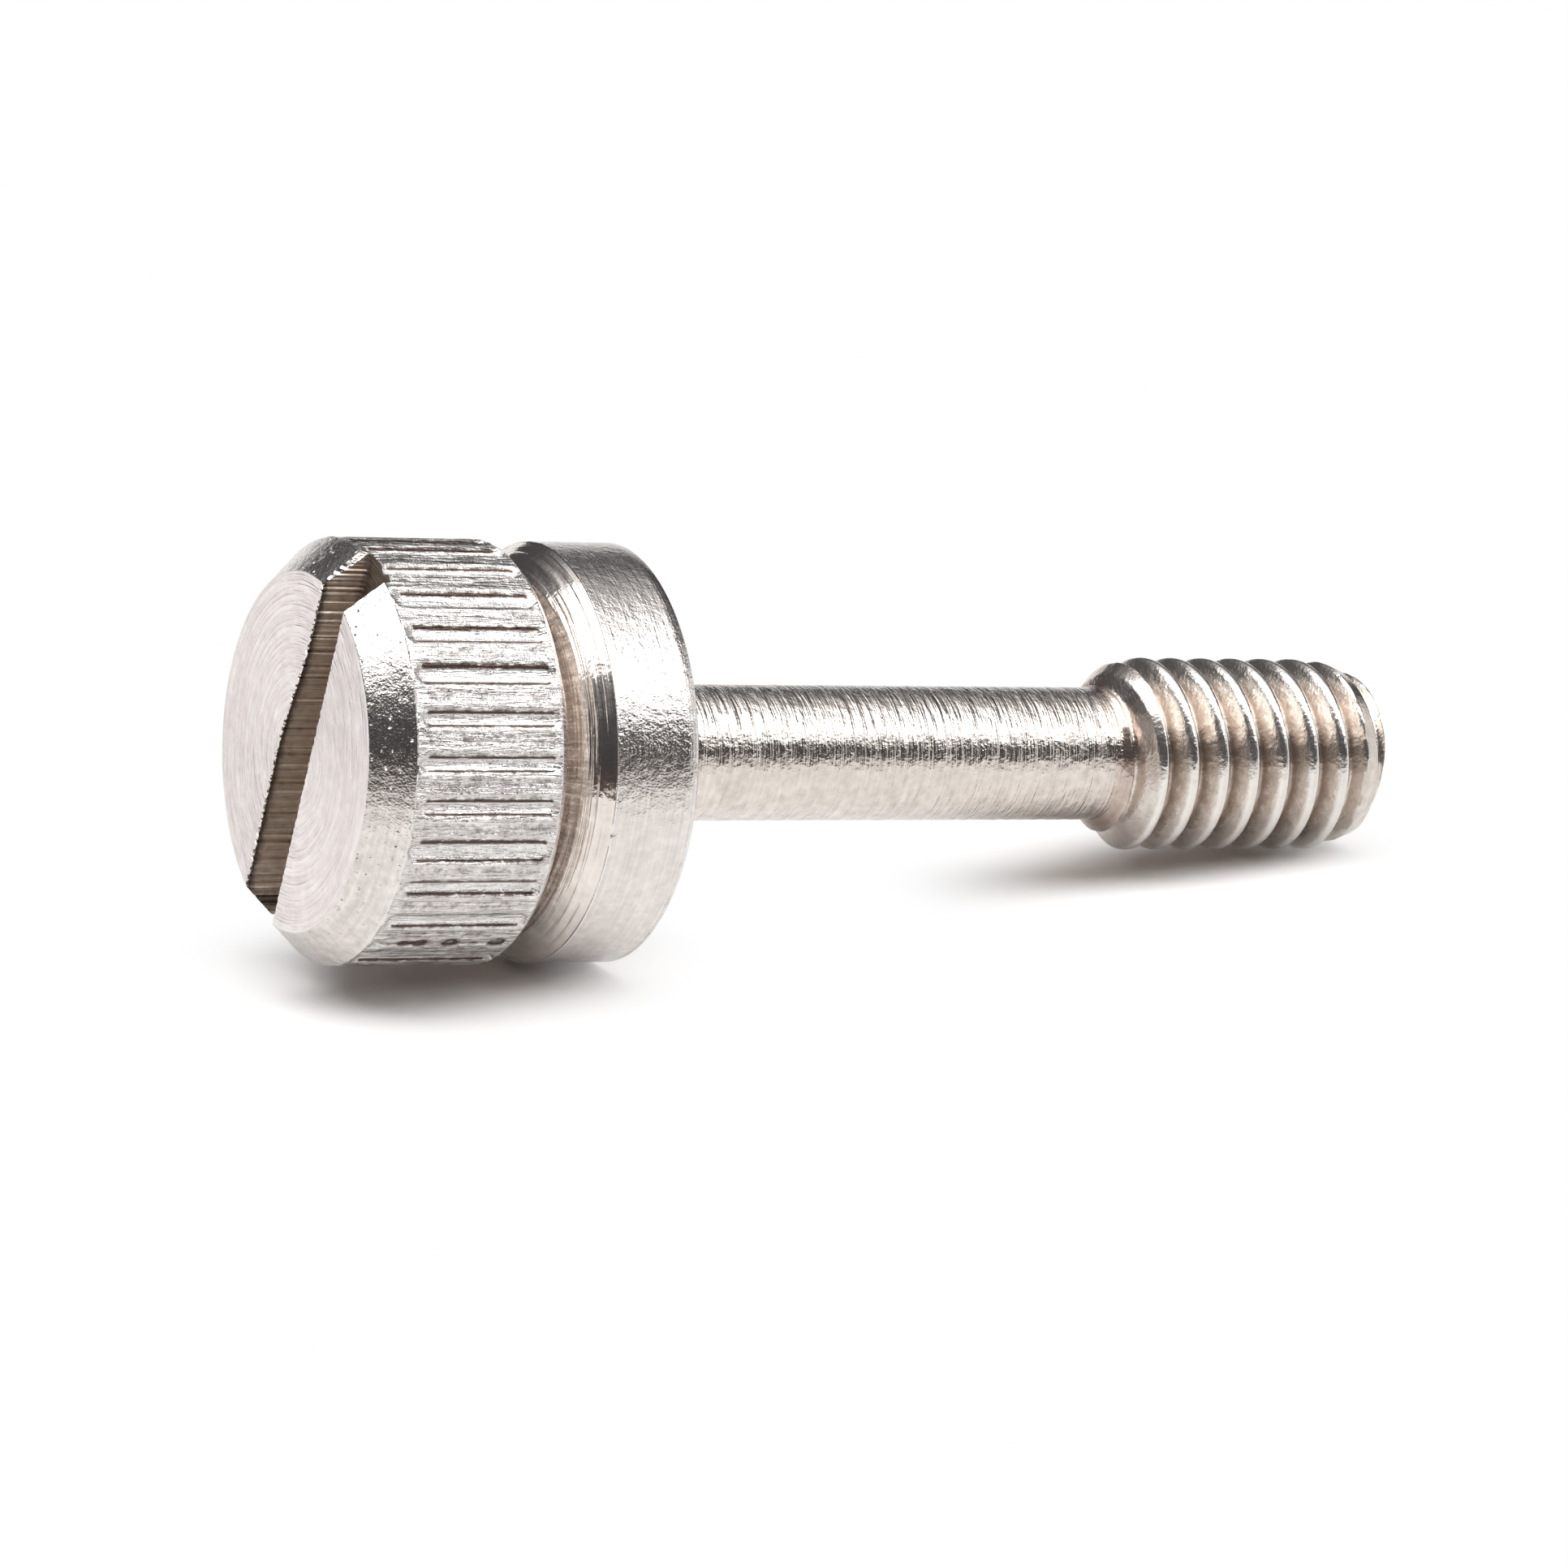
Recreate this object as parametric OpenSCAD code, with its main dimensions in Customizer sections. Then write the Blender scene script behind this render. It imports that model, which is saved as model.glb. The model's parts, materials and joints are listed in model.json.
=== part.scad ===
// Captive screw with a slotted, straight-knurled head, a retaining collar,
// a relieved shank and a short thread at its tip. It is turned from one bar
// of stainless steel, so the whole screw is one solid.
// Millimetres, +Z up. The screw lies on the plane z = 0 as it comes to rest:
// on the rear rim of its collar and on the crest of its thread near the tip.
// +X runs from the head towards the tip.
// The thread is a plain cylinder over its crests, M4 x 0.7, right-handed.

/* [Head] */
// Diameter over the ridges of the knurl
knurl_d = 8.1; // [6:0.05:12]
// Length of the knurl at its full diameter
knurl_len = 2.95; // [1.5:0.05:8]
// Length of the bevel between the end face and the knurl
face_bevel_len = 0.7; // [0.2:0.05:2]
// How far the bevel drops from the knurl down to the end face
face_bevel_drop = 0.65; // [0.2:0.05:2]
// Length and drop of the small bevel behind the knurl
rear_bevel = 0.15; // [0.05:0.05:0.5]

/* [Knurl grooves] */
// Number of grooves around the head
groove_count = 30; // [12:1:48]
// Depth of each groove below the ridges
groove_depth = 0.1; // [0.04:0.01:0.3]
// Diameter of the round nose that forms each groove
groove_nose_d = 0.4; // [0.2:0.02:0.7]
// Turn of the first groove from the lowest line of the head, in degrees
groove_turn = 8.2; // [0:0.1:12]

/* [Driver slot] */
// Width of the slot
slot_w = 1.4; // [0.4:0.05:2]
// Depth of the slot below the end face
slot_depth = 0.85; // [0.3:0.05:3]
// Turn of the slot from the upright, in degrees
slot_turn = 15; // [0:0.5:180]

/* [Neck and collar] */
// Depth of the neck below the ridges of the knurl
neck_depth = 0.95; // [0.2:0.05:2]
// Length of the neck's straight floor
neck_len = 0.3; // [0.1:0.05:3]
// Length of the flare from the neck out to the collar
flare_len = 0.7; // [0.2:0.05:3]
// Diameter of the retaining collar
collar_d = 8.05; // [6.5:0.05:14]
// Length of the collar, from the end of the flare to its rear face
collar_len = 1.7; // [0.6:0.05:6]
// Break of the collar's rear edge
collar_break = 0.05; // [0.02:0.01:0.3]

/* [Shank] */
// Diameter of the relieved shank
shank_d = 2.65; // [1.6:0.05:3.6]
// Length of the shank, from the collar to the start of the thread
shank_len = 10.8; // [6:0.1:40]

/* [Thread] */
// Diameter over the crests of the thread
thread_d = 3.85; // [2.9:0.05:7]
// Length of the threaded end, with its run-in and its bevelled tip
thread_len = 5.95; // [4:0.05:30]
// Length of the cone from the shank up to the crests
run_in_len = 0.65; // [0.2:0.05:2]
// Length of the bevel at the tip
tip_bevel_len = 0.85; // [0.2:0.05:2]
// How far the tip bevel drops from the crests down to the end
tip_bevel_drop = 0.3; // [0.1:0.05:1]

/* [Hidden] */

$fn = 96;
// How far a cut reaches past the surface that it opens
cut_over = 0.5;

// Radii
knurl_r = knurl_d / 2;
face_r = knurl_r - face_bevel_drop;
neck_r = knurl_r - neck_depth;
collar_r = collar_d / 2;
shank_r = shank_d / 2;
thread_r = thread_d / 2;
tip_r = thread_r - tip_bevel_drop;

// Distances along the axis from the end face
knurl_start = face_bevel_len;
knurl_end = knurl_start + knurl_len;
neck_start = knurl_end + rear_bevel;
flare_start = neck_start + neck_len;
collar_start = flare_start + flare_len;
collar_end = collar_start + collar_len;
shank_end = collar_end + shank_len;
crest_start = shank_end + run_in_len;
overall_len = shank_end + thread_len;
crest_end = overall_len - tip_bevel_len;

// Half of the section, as [radius, distance from the end face]
outline = [
    [0, 0],
    [face_r, 0],
    [knurl_r, knurl_start],
    [knurl_r, knurl_end],
    [knurl_r - rear_bevel, neck_start],
    [neck_r, neck_start],
    [neck_r, flare_start],
    [collar_r, collar_start],
    [collar_r, collar_end - collar_break],
    [collar_r - collar_break, collar_end],
    [shank_r, collar_end],
    [shank_r, shank_end],
    [thread_r, crest_start],
    [thread_r, crest_end],
    [tip_r, overall_len],
    [0, overall_len]
];

// Volume of the slice from one point of the outline to the next, over pi
function slice_volume(a, b) =
    (b[1] - a[1]) * (a[0] * a[0] + a[0] * b[0] + b[0] * b[0]) / 3;

// First moment of that slice about the end face, over pi
function slice_moment(a, b) =
    a[1] * slice_volume(a, b)
    + pow(b[1] - a[1], 2) * (a[0] * a[0] + 2 * a[0] * b[0] + 3 * b[0] * b[0]) / 12;

function total(list) = list * [for (item = list) 1];

// Distance of the balance point from the end face, slot and grooves left out
slices = [for (i = [0 : len(outline) - 2]) [outline[i], outline[i + 1]]];
balance = total([for (s = slices) slice_moment(s[0], s[1])])
    / total([for (s = slices) slice_volume(s[0], s[1])]);

// The rims that can touch the surface below, as [radius, distance]
rims = [
    [knurl_r, knurl_start],
    [knurl_r, knurl_end],
    [collar_r, collar_start],
    [collar_r, collar_end - collar_break],
    [thread_r, crest_start],
    [thread_r, crest_end]
];

// Slope of the surface that touches a rim on either side of the balance point,
// and its distance from the axis there. The screw rests on the outermost one.
function rest_slope(a, b) = (a[0] - b[0]) / (b[1] - a[1]);
function rest_reach(a, b) = a[0] - rest_slope(a, b) * (balance - a[1]);
stands = [
    for (a = rims, b = rims)
        if (a[1] <= balance && balance < b[1])
            [rest_reach(a, b), rest_slope(a, b)]
];
reach = max([for (stand = stands) stand[0]]);
rest_tilt = atan([for (stand = stands) if (stand[0] == reach) stand[1]][0]);
rest_height = reach * cos(rest_tilt) + balance * sin(rest_tilt);

// Ends of the lying screw along X, and the middle between them
low_x = min([for (p = outline) p[1] * cos(rest_tilt) - p[0] * abs(sin(rest_tilt))]);
high_x = max([for (p = outline) p[1] * cos(rest_tilt) + p[0] * abs(sin(rest_tilt))]);
middle_x = (low_x + high_x) / 2;

// The grooves of the knurl, each cut by a round-nosed tool along the axis
module knurl_grooves() {
    nose_r = groove_nose_d / 2;
    for (i = [0 : groove_count - 1])
        rotate([0, 0, groove_turn + i * 360 / groove_count])
            translate([knurl_r - groove_depth + nose_r, 0, -cut_over])
                cylinder(h = neck_start + cut_over, r = nose_r);
}

// The slot for a flat screwdriver, sawn straight across the end face
module driver_slot() {
    rotate([0, 0, slot_turn])
        translate([-knurl_d, -slot_w / 2, -cut_over])
            cube([2 * knurl_d, slot_w, slot_depth + cut_over]);
}

// The screw along +Z, with its end face at z = 0
module upright_screw() {
    difference() {
        rotate_extrude()
            polygon(outline);
        knurl_grooves();
        driver_slot();
    }
}

module captive_screw() {
    color([0.76, 0.74, 0.72])
        translate([-middle_x, 0, rest_height])
            rotate([0, 90 + rest_tilt, 0])
                upright_screw();
}

captive_screw();
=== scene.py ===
"""Looks of the captive screw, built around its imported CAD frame.

One turned piece of stainless steel lies on a pale sheet in soft studio light: a slotted head with a
straight knurl, a neck and a flare, a retaining collar, a relieved shank and a short M4 thread.
Sizes inside the screw's classes are in millimetres along and around its own axis. Whatever is placed
in the scene is in metres, in the frame of the CAD model.
"""

import json
import logging
import math
from dataclasses import dataclass, field
from enum import Enum

import bmesh
import bpy
import numpy as np
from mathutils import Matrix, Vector


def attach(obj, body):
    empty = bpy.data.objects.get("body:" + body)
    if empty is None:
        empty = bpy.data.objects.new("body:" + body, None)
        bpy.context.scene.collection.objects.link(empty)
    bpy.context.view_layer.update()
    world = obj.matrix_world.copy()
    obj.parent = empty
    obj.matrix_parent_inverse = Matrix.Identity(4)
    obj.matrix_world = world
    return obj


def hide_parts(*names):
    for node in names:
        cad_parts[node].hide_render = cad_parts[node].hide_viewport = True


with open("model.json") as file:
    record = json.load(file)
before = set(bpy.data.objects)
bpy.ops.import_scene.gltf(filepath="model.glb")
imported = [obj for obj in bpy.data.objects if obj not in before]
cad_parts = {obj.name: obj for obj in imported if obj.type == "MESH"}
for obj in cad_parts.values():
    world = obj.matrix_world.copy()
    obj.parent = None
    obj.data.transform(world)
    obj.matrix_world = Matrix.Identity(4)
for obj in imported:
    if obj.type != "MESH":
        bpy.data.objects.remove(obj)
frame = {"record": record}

LOG = logging.getLogger("captive_screw")
NODE = "captive_screw"
BODY = "root"
MM = 0.001
MICROMETRE = 1e-6
TURN = 2.0 * math.pi

# How arcs round the corners of the outline: degrees to a step, the most of a straight that an arc may
# take, and the reach in millimetres below which a corner stays sharp.
ARC_STEP = 15.0
ARC_SHARE = 0.45
ARC_LEAST = 1e-6

Socket = bpy.types.NodeSocket
Value = float | Socket
Range = tuple[float, float]
Triple = tuple[float, float, float]
Ring = tuple[np.ndarray, np.ndarray, "Finish"]


class Finish(Enum):
    """The finishes on the screw. Each value is the finish's material slot on the mesh."""

    FACED = 0
    BEVELLED = 1
    KNURLED = 2
    FLARED = 3
    TURNED = 4
    CHATTERED = 5
    THREADED = 6
    SAWN = 7


class Travel(Enum):
    """The way a tool moved over the surface. Each value is the output of the screw_frame group."""

    ALONG = "Along"
    OUTWARD = "Radius"
    SLOTWISE = "Slotwise"


# ---------------------------------------------------------------------------------------------------
# Where the screw lies
# ---------------------------------------------------------------------------------------------------


@dataclass(frozen=True)
class Lie:
    """Where the screw lies: the centre of its end face, in metres, and the directions of its frame."""

    centre: Vector
    along: Vector
    up: Vector
    near: Vector

    @classmethod
    def from_record(cls, record: dict, slot_depth: float) -> "Lie":
        """Reads the screw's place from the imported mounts.

        Args:
            record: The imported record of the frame.
            slot_depth: Depth of the driver slot in millimetres.

        Returns:
            The lie of the screw, with the face's centre one slot depth before the slot's floor.
        """
        mounts = {mount["name"]: mount for mount in record["mounts"]}
        along = Vector(mounts["thread"]["axis"]).normalized()
        near = Vector((0.0, -1.0, 0.0))
        up = near.cross(along).normalized()
        if up.z < 0.0:
            up.negate()
        floor = Vector(mounts["driver_slot"]["pos_m"])
        return cls(floor - along * slot_depth * MM, along, up, near)

    def place(self, along: np.ndarray, upward: np.ndarray, nearward: np.ndarray) -> np.ndarray:
        """Turns millimetres in the screw's frame into metres in the scene.

        Args:
            along: Distances behind the end face.
            upward: Distances from the axis towards the top line.
            nearward: Distances from the axis towards the near side.

        Returns:
            One row of x, y and z for each point.
        """
        axes = np.array([self.along, self.up, self.near])
        local = np.stack([along, upward, nearward], -1).reshape(-1, 3) * MM
        return np.array(self.centre) + local @ axes


# ---------------------------------------------------------------------------------------------------
# Outline and relief
# ---------------------------------------------------------------------------------------------------


class Waver:
    """A smooth irregularity over the turned skin. It has no seam and is the same in every run."""

    def __init__(self, seed: int, count: int, along: Range, around: tuple[int, int]) -> None:
        """Draws the waves.

        Args:
            seed: Seed of the draw.
            count: Number of waves that are added up.
            along: Fewest and most waves to the millimetre along the axis.
            around: Fewest and most waves around the axis.
        """
        draw = np.random.default_rng(seed)
        self.pull = draw.uniform(*along, count) * draw.choice([-1.0, 1.0], count) * TURN
        self.turns = draw.integers(*around, count, endpoint=True)
        self.phase = draw.uniform(0.0, TURN, count)

    def at(self, along: np.ndarray, angle: np.ndarray) -> np.ndarray:
        """Gives the irregularity, mostly from -1 to 1.

        Args:
            along: Distances behind the end face.
            angle: Angles around the axis.

        Returns:
            One number for each point.
        """
        total = np.zeros(np.broadcast(along, angle).shape)
        for pull, turns, phase in zip(self.pull, self.turns, self.phase):
            total += np.sin(pull * along + turns * angle + phase)
        return np.clip(total / math.sqrt(2.0 * len(self.phase)), -1.0, 1.0)


def ease(value: np.ndarray, low: float, high: float) -> np.ndarray:
    """Rises smoothly from 0 at low to 1 at high."""
    share = np.clip((value - low) / (high - low), 0.0, 1.0)
    return share * share * (3.0 - 2.0 * share)


def within(along: np.ndarray, start: float, rise: Range, end: float, fall: Range) -> np.ndarray:
    """Gives 1 within a stretch and 0 beyond it; its rise and fall count from its start and its end."""
    risen = ease(along, start + rise[0], start + rise[1])
    return risen * (1.0 - ease(along, end + fall[0], end + fall[1]))


def even_angles(columns: int) -> np.ndarray:
    """Gives the angles of evenly spaced columns around the axis."""
    return np.arange(columns) * TURN / columns


class TurnedPart:
    """A stretch of the screw that was turned with one tool."""

    finish: Finish = Finish.TURNED
    columns: int = 480

    def skin(self, along: np.ndarray, radius: np.ndarray, angle: np.ndarray) -> np.ndarray:
        """Gives the radius of the finished skin; the plain outline unless a part has relief."""
        return radius + 0.0 * angle

    def corners(self) -> list["Corner"]:
        """Gives the corners of the part's outline, from the end face backwards."""
        raise NotImplementedError


@dataclass(frozen=True)
class Corner:
    """A corner of the outline, the radius that rounds it and the spacing of rings after it."""

    along: float
    radius: float
    rounding: float
    step: float
    part: TurnedPart


@dataclass(frozen=True)
class Station:
    """One ring of the plain outline and the part that owns it."""

    along: float
    radius: float
    part: TurnedPart


def arc_between(before: Corner, corner: Corner, after: Corner) -> list[Station]:
    """Rounds one corner of the outline.

    Args:
        before: The corner before it.
        corner: The corner that is rounded.
        after: The corner after it.

    Returns:
        The stations of the arc; its first half belongs to the part before, its second to the next.
    """
    spot = np.array([corner.along, corner.radius])
    inward = spot - np.array([before.along, before.radius])
    outward = np.array([after.along, after.radius]) - spot
    inward_length = float(np.hypot(*inward))
    outward_length = float(np.hypot(*outward))
    inward /= inward_length
    outward /= outward_length
    cosine = float(np.clip(inward @ outward, -1.0, 1.0))
    bend = math.acos(cosine)
    reach = corner.rounding * math.tan(bend / 2.0)
    reach = min(reach, ARC_SHARE * inward_length, ARC_SHARE * outward_length)
    if reach < ARC_LEAST:
        return [Station(corner.along, corner.radius, corner.part)]
    count = max(3, math.ceil(math.degrees(bend) / ARC_STEP) + 1)
    start = spot - inward * reach
    stop = spot + outward * reach
    stations = []
    for share in np.linspace(0.0, 1.0, count):
        point = (1 - share) ** 2 * start + 2 * share * (1 - share) * spot + share**2 * stop
        owner = before.part if share < 0.5 else corner.part
        stations.append(Station(float(point[0]), float(point[1]), owner))
    return stations


def outline(corners: list[Corner]) -> list[Station]:
    """Rounds the corners of an outline and fills its straights with rings.

    Args:
        corners: The corners from the end face to the tip.

    Returns:
        The stations in the same order.
    """
    knots = [[Station(corners[0].along, corners[0].radius, corners[0].part)]]
    for before, corner, after in zip(corners, corners[1:], corners[2:]):
        knots.append(arc_between(before, corner, after))
    knots.append([Station(corners[-1].along, corners[-1].radius, corners[-1].part)])
    stations = list(knots[0])
    for corner, arc in zip(corners, knots[1:]):
        last = stations[-1]
        gap = math.hypot(arc[0].along - last.along, arc[0].radius - last.radius)
        count = max(1, round(gap / corner.step))
        for share in np.arange(1, count) / count:
            along = last.along + share * (arc[0].along - last.along)
            radius = last.radius + share * (arc[0].radius - last.radius)
            stations.append(Station(float(along), float(radius), corner.part))
        stations.extend(arc)
    return stations


# ---------------------------------------------------------------------------------------------------
# The stretches of the screw
# ---------------------------------------------------------------------------------------------------


@dataclass
class EndFace(TurnedPart):
    """The faced end of the head, which the slot crosses."""

    radius: float = 3.4
    rim: float = 0.25
    finish = Finish.FACED

    def corners(self) -> list[Corner]:
        """Gives the edge of the flat, just inside the face's rim."""
        return [Corner(0.0, self.radius - self.rim, rounding=0.0, step=0.3, part=self)]


@dataclass
class FrontBevel(TurnedPart):
    """The bevel between the end face and the knurl."""

    face_radius: float = 3.4
    length: float = 0.7
    edge_rounding: float = 0.045
    finish = Finish.BEVELLED

    def corners(self) -> list[Corner]:
        """Gives the bevel's corner at the face."""
        return [Corner(0.0, self.face_radius, self.edge_rounding, step=0.09, part=self)]


@dataclass
class Knurl(TurnedPart):
    """The straight knurl: pressed grooves with raised lips, and rough bar between them.

    The knurling wheel leaves one wall of each groove longer than the other. Where each wall's foot is
    counts from the groove's middle, as a share of its half width. A groove's front, rear and fades
    count from the knurl's ends. The broken groove's depth and width are each a least value, and what is
    added to it where the groove is well pressed, as shares of the usual ones.
    """

    radius: float = 4.05
    start: float = 0.7
    end: float = 3.65
    rear_bevel: float = 0.15
    rounding: float = 0.14
    grooves: int = 30
    first_groove: float = math.radians(8.2)
    columns_to_groove: int = 16
    crowding: float = 0.6
    crowded_at: float = 0.4
    half_width: float = 0.185
    width_shares: Range = (0.86, 1.12)
    depth: float = 0.1
    depth_shares: Range = (0.86, 1.0)
    sway: float = 0.02
    front_inset: float = 0.22
    front_spread: Range = (-0.03, 0.05)
    front_fade: Range = (-0.06, 0.05)
    rear_inset: float = 0.17
    rear_spread: Range = (-0.03, 0.03)
    rear_fade: Range = (-0.03, 0.05)
    long_wall: float = 0.28
    short_wall: float = 0.6
    lip: float = 0.026
    lip_width: float = 0.042
    lip_offset: float = 0.8
    roughness: float = 0.012
    coarse_share: float = 0.32
    streak_share: float = 0.68
    rough_rise: Range = (1.0, 1.3)
    dents: float = 0.03
    dent_inset: float = 0.03
    dent_width: float = 0.09
    broken_groove: int = 11
    broken_rise: Range = (-0.6, 0.9)
    broken_depth: Range = (0.06, 0.54)
    broken_width: Range = (0.4, 0.4)
    seed: int = 31
    finish = Finish.KNURLED

    def __post_init__(self) -> None:
        """Draws the small differences between the grooves."""
        draw = np.random.default_rng(self.seed)
        self.widths = self.half_width * draw.uniform(*self.width_shares, self.grooves)
        self.depths = self.depth * draw.uniform(*self.depth_shares, self.grooves)
        self.sways = draw.uniform(-self.sway, self.sway, self.grooves) / self.radius
        self.fronts = self.start + self.front_inset + draw.uniform(*self.front_spread, self.grooves)
        self.rears = self.end - self.rear_inset + draw.uniform(*self.rear_spread, self.grooves)
        self.coarse = Waver(seed=5, count=24, along=(0.8, 3.0), around=(40, 150))
        self.streaks = Waver(seed=6, count=24, along=(0.0, 0.5), around=(60, 200))
        self.fill = Waver(seed=8, count=4, along=(0.7, 2.1), around=(0, 0))

    def around(self) -> np.ndarray:
        """Gives the angles at which the head's relief is read, one for each column.

        They crowd together on the walls of the grooves. The columns themselves are spaced evenly, so
        the walls come out a little broader than they were pressed.

        Returns:
            The angles in rising order.
        """
        half = self.columns_to_groove // 2
        share = np.arange(-half, half) / half
        bend = self.crowding / TURN
        shift = np.sin(TURN * (np.abs(share) - self.crowded_at)) + math.sin(TURN * self.crowded_at)
        away = np.abs(share) - bend * shift
        turns = np.sign(share) * away / 2.0 + np.arange(self.grooves)[:, None]
        return np.sort(np.mod(self.first_groove + turns.ravel() * TURN / self.grooves, TURN))

    def corners(self) -> list[Corner]:
        """Gives the knurl's two ends, the bevel behind it and the side of the neck.

        Returns:
            The corners, from the end face backwards.
        """
        rear = self.end + self.rear_bevel
        return [
            Corner(self.start, self.radius, self.rounding, step=0.085, part=self),
            Corner(self.end, self.radius, rounding=0.06, step=0.04, part=self),
            Corner(rear, self.radius - self.rear_bevel, rounding=0.03, step=0.25, part=self),
        ]

    def skin(self, along: np.ndarray, radius: np.ndarray, angle: np.ndarray) -> np.ndarray:
        """Presses the grooves into the outline.

        Args:
            along: Distances behind the end face.
            radius: Radii of the plain outline.
            angle: Angles around the axis.

        Returns:
            The radii of the knurled skin, nowhere above the outline.
        """
        pitch = TURN / self.grooves
        order = np.round((angle - self.first_groove) / pitch)
        number = order.astype(int) % self.grooves
        across = (angle - self.first_groove - order * pitch - self.sways[number]) * self.radius
        beyond = np.maximum(self.fronts[number] - along, along - self.rears[number])
        reach = np.hypot(across, np.maximum(beyond, 0.0))
        share = ease(self.fill.at(along, angle), *self.broken_rise)
        broken = number == self.broken_groove
        shallow, deeper = self.broken_depth
        narrow, wider = self.broken_width
        depth = self.depths[number] * np.where(broken, shallow + deeper * share, 1.0)
        half = self.widths[number] * np.where(broken, narrow + wider * share, 1.0)
        foot = np.where(across < 0.0, self.long_wall, self.short_wall)
        cut = depth * (1.0 - ease(reach / half, foot, 1.0))
        lip = self.lip * np.exp(-(((reach - half) / self.lip_width - self.lip_offset) ** 2))
        coarse = self.coarse.at(along, angle)
        rough = self.coarse_share * coarse + self.streak_share * self.streaks.at(along, angle)
        rough = self.roughness * rough * ease(reach / half, *self.rough_rise)
        fade = within(along, self.start, self.front_fade, self.end, self.rear_fade)
        at_edge = np.exp(-(((along - self.start - self.dent_inset) / self.dent_width) ** 2))
        dented = self.dents * at_edge * np.maximum(coarse, 0.0)
        return radius + fade * (np.minimum(lip - self.lip + rough, 0.0) - cut) - dented


@dataclass
class Flare(TurnedPart):
    """The neck behind the knurl and the flare out to the collar, cut in a few broad bands.

    The flare rises steeply from the neck's floor, and less so from its shoulder on.
    """

    neck_start: float = 3.8
    neck_radius: float = 3.1
    start: float = 4.1
    shoulder: float = 4.3
    shoulder_radius: float = 3.6
    band: float = 0.15
    band_depth: float = 0.022
    band_sway: float = 0.02
    rise: Range = (0.04, 0.14)
    finish = Finish.FLARED

    def __post_init__(self) -> None:
        """Draws the flare's slight unevenness."""
        self.sway = Waver(seed=12, count=8, along=(0.2, 1.2), around=(1, 5))

    def corners(self) -> list[Corner]:
        """Gives the corners of the neck's floor and the flare's shoulder.

        Returns:
            The corners, from the end face backwards.
        """
        return [
            Corner(self.neck_start, self.neck_radius, rounding=0.08, step=0.08, part=self),
            Corner(self.start, self.neck_radius, rounding=0.05, step=0.055, part=self),
            Corner(self.shoulder, self.shoulder_radius, rounding=1.2, step=0.055, part=self),
        ]

    def skin(self, along: np.ndarray, radius: np.ndarray, angle: np.ndarray) -> np.ndarray:
        """Cuts the bands: shallow hollows, one for each pass of the tool.

        Args:
            along: Distances behind the end face.
            radius: Radii of the plain outline.
            angle: Angles around the axis.

        Returns:
            The radii of the flare's skin, nowhere above the outline.
        """
        place = along - self.start + self.band_sway * self.sway.at(along, angle)
        share = np.mod(place / self.band, 1.0)
        on_flare = ease(along, self.start + self.rise[0], self.start + self.rise[1])
        return radius - on_flare * self.band_depth * 4.0 * share * (1.0 - share)


@dataclass
class Collar(TurnedPart):
    """The smooth retaining collar, with a small nick in its front edge."""

    radius: float = 4.025
    start: float = 4.8
    end: float = 6.5
    edge_break: float = 0.05
    edge_strip: float = 0.25
    wave_height: float = 0.0025
    rise: Range = (0.05, 0.3)
    fall: float = 0.35
    nick_angle: float = math.radians(100.0)
    nick_size: float = 0.1
    nick_depth: float = 0.06
    finish = Finish.TURNED

    def __post_init__(self) -> None:
        """Draws the collar's slight waviness."""
        self.wave = Waver(seed=21, count=10, along=(0.3, 1.1), around=(1, 4))

    def corners(self) -> list[Corner]:
        """Gives the collar's edges and its rear face.

        Returns:
            The corners, from the end face backwards.
        """
        return [
            Corner(self.start, self.radius, rounding=0.035, step=0.05, part=self),
            Corner(self.start + self.edge_strip, self.radius, rounding=0.0, step=0.2, part=self),
            Corner(self.end - self.edge_break, self.radius, rounding=0.0, step=0.03, part=self),
            Corner(self.end, self.radius - self.edge_break, rounding=0.0, step=3.0, part=self),
        ]

    def skin(self, along: np.ndarray, radius: np.ndarray, angle: np.ndarray) -> np.ndarray:
        """Adds a slight waviness and the nick.

        Args:
            along: Distances behind the end face.
            radius: Radii of the plain outline.
            angle: Angles around the axis.

        Returns:
            The radii of the collar's skin, nowhere above the outline.
        """
        inside = within(along, self.start, self.rise, self.end, (-self.fall, -self.edge_break))
        wave = self.wave_height * inside * (self.wave.at(along, angle) - 1.0)
        aside = (angle - self.nick_angle) * self.radius
        ahead = along - self.start
        nick = self.nick_depth * np.exp(-(aside**2 + ahead**2) / self.nick_size**2)
        return radius + wave - nick


@dataclass
class Shank(TurnedPart):
    """The relieved shank, turned down roughly, with chatter all along it."""

    radius: float = 1.325
    start: float = 6.5
    end: float = 17.3
    chatter: float = 0.007
    rib_share: float = 0.65
    lump_share: float = 0.35
    rise: Range = (0.03, 0.2)
    fall: Range = (-0.3, 0.0)
    columns: int = 120
    finish = Finish.CHATTERED

    def __post_init__(self) -> None:
        """Draws the chatter."""
        self.ribs = Waver(seed=41, count=22, along=(1.6, 4.2), around=(0, 5))
        self.lumps = Waver(seed=42, count=16, along=(0.5, 2.0), around=(3, 14))

    def corners(self) -> list[Corner]:
        """Gives the shank's corner at the collar."""
        return [Corner(self.start, self.radius, rounding=0.06, step=0.088, part=self)]

    def skin(self, along: np.ndarray, radius: np.ndarray, angle: np.ndarray) -> np.ndarray:
        """Adds the chatter.

        Args:
            along: Distances behind the end face.
            radius: Radii of the plain outline.
            angle: Angles around the axis.

        Returns:
            The radii of the shank's skin, nowhere above the outline.
        """
        inside = within(along, self.start, self.rise, self.end, self.fall)
        ribs = self.rib_share * self.ribs.at(along, angle) + self.lump_share * self.lumps.at(along, angle)
        return radius + self.chatter * inside * (ribs - 1.0)


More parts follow.
